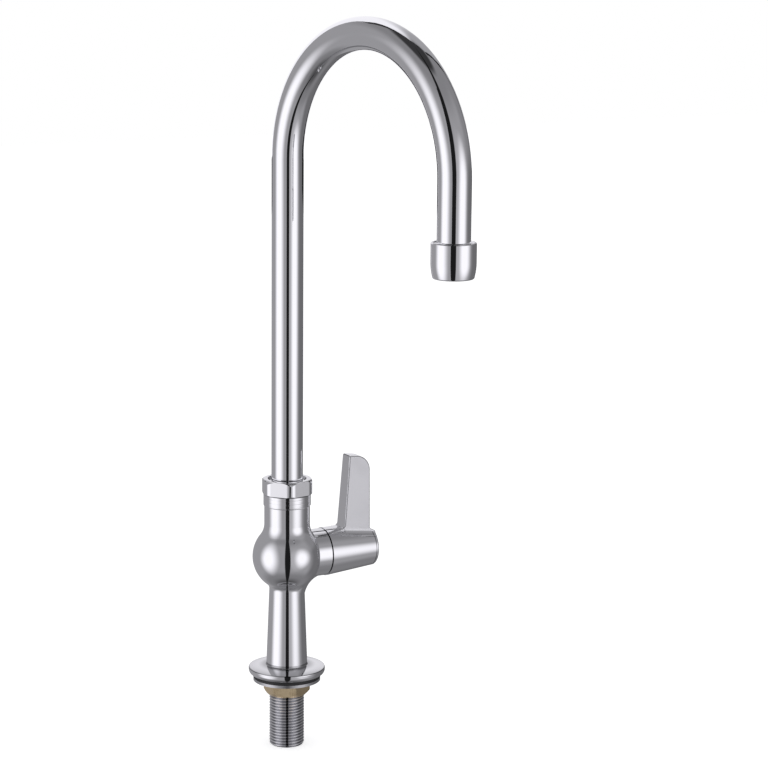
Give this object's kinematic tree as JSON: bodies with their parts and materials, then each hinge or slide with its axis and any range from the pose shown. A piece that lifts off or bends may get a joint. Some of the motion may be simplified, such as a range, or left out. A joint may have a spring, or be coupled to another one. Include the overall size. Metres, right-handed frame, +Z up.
{
  "type": "kitchen faucet",
  "caption": "Deck-mounted single-hole faucet: swivelling gooseneck spout with aerator, side quarter-turn lever valve, threaded shank with washers and locknut.",
  "frame": {"origin": "on the shank's axis at the top of the deck, which is the underside of the rubber gasket", "axes": "+Z up along the shank and the riser; +X along the valve axis, towards the lever; the spout at rest reaches towards -Y, turned 10 degrees towards +X"},
  "size_m": [0.0818, 0.1863, 0.4479],
  "materials": {
    "polished_chrome": "bright chrome plate, polished",
    "chrome_thread": "chrome plate over cut thread, slightly dull",
    "zinc_steel": "plain steel",
    "raw_brass": "machined, unplated",
    "black_rubber": "moulded, matt",
    "white_ceramic": "lapped ceramic",
    "nylon": "moulded nylon",
    "grey_plastic": "moulded acetal"
  },
  "bodies": {
    "fixed_body": {"faucet_body": "polished_chrome", "deck_flange": "polished_chrome", "threaded_shank": "chrome_thread", "deck_gasket": "black_rubber", "clamp_washer": "zinc_steel", "locknut": "raw_brass", "cartridge_body": "raw_brass", "cartridge_seal": "black_rubber", "cartridge_o_ring": "black_rubber", "fixed_disc": "white_ceramic", "spout_nut": "polished_chrome"},
    "spout": {"spout_tube": "polished_chrome", "spout_collar": "polished_chrome", "spout_sleeve": "raw_brass", "spout_o_rings": "black_rubber", "thrust_washer": "nylon", "outlet_ferrule": "polished_chrome", "aerator_housing": "polished_chrome", "aerator_gasket": "black_rubber", "aerator_insert": "grey_plastic", "aerator_screen": "zinc_steel"},
    "lever": {"lever_handle": "polished_chrome", "handle_screw": "zinc_steel", "end_cap": "polished_chrome", "valve_stem": "raw_brass", "moving_disc": "white_ceramic", "stem_o_rings": "black_rubber", "stem_washer": "nylon", "stem_clip": "zinc_steel"}
  },
  "joints": [
    {"name": "spout_swivel", "type": "hinge", "parent": "fixed_body", "child": "spout", "pos_m": [0, 0, 0.0984], "axis": [0, 0, 1], "continuous": true},
    {"name": "lever_turn", "type": "hinge", "parent": "fixed_body", "child": "lever", "pos_m": [0.0242, 0, 0.0761], "axis": [1, 0, 0], "range_deg": [0, 90]}
  ]
}
